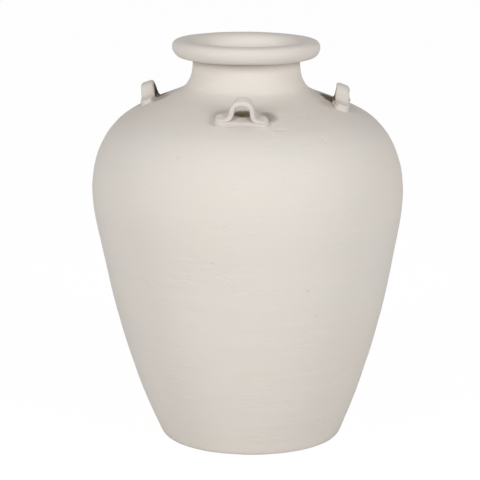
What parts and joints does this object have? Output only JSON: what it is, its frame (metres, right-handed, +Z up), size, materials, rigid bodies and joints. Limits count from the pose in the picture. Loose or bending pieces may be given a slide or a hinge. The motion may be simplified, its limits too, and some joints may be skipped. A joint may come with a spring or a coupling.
{
  "type": "storage jar",
  "caption": "Free-standing unglazed clay storage jar with a rolled rim, short waisted neck, broad shoulder and strap lugs that take a lashing cord.",
  "frame": {"origin": "middle of the flat base", "axes": "+Z up the jar's axis, -Y towards the viewer of the picture, +X to that viewer's right"},
  "size_m": [0.4347, 0.4348, 0.56],
  "materials": {
    "fired_clay": "unglazed, matt"
  },
  "bodies": {
    "root": {"floor_slab": "fired_clay", "floor_seam_coil": "fired_clay", "lower_wall": "fired_clay", "middle_wall": "fired_clay", "upper_wall": "fired_clay", "shoulder": "fired_clay", "neck": "fired_clay", "rim": "fired_clay", "lug_front_strap": "fired_clay", "lug_front_pad": "fired_clay", "lug_right_strap": "fired_clay", "lug_right_pad": "fired_clay", "lug_back_strap": "fired_clay", "lug_back_pad": "fired_clay", "lug_left_strap": "fired_clay", "lug_left_pad": "fired_clay"}
  },
  "joints": []
}
